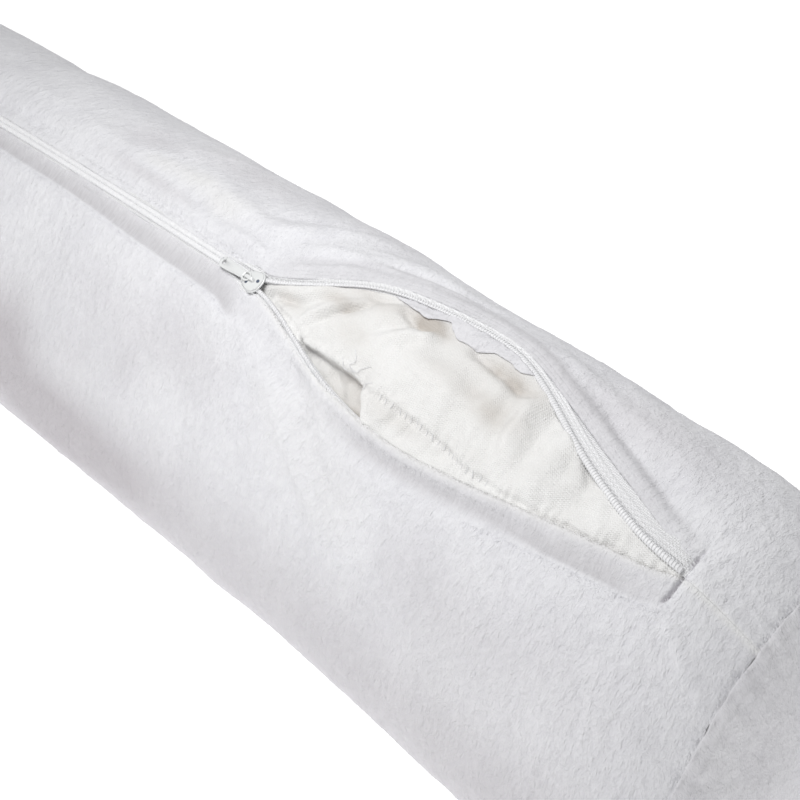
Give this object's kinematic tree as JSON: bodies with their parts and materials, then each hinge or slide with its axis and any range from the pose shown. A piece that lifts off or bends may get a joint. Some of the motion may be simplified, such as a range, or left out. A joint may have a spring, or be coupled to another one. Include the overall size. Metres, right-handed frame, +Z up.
{
  "type": "wedge bolster pillow",
  "caption": "Long bolster of soft triangular section in a plush cover, its zip half open along the ridge over the satin inner pillow.",
  "frame": {"origin": "middle of the bounding box's lowest face, on the surface that the pillow lies on", "axes": "+X along the pillow towards the end that the opened zip reaches, +Y from the front face, where the zip leans, to the back face, +Z up"},
  "size_m": [0.7, 0.1806, 0.144],
  "materials": {
    "plush": "short soft pile, white",
    "satin": "brushed satin weave, warm white",
    "zip_tape": "woven tape, white",
    "zip_coil": "semi-gloss nylon, white",
    "zip_enamel": "glossy white enamel"
  },
  "bodies": {
    "root": {"cover_wrap": "plush", "end_panel_near": "plush", "end_panel_far": "plush", "inner_pillow": "satin", "zip_tape_front": "zip_tape", "zip_tape_back": "zip_tape", "zip_coil_front": "zip_coil", "zip_coil_back": "zip_coil", "zip_slider": "zip_enamel", "zip_pull": "zip_enamel"}
  },
  "joints": []
}
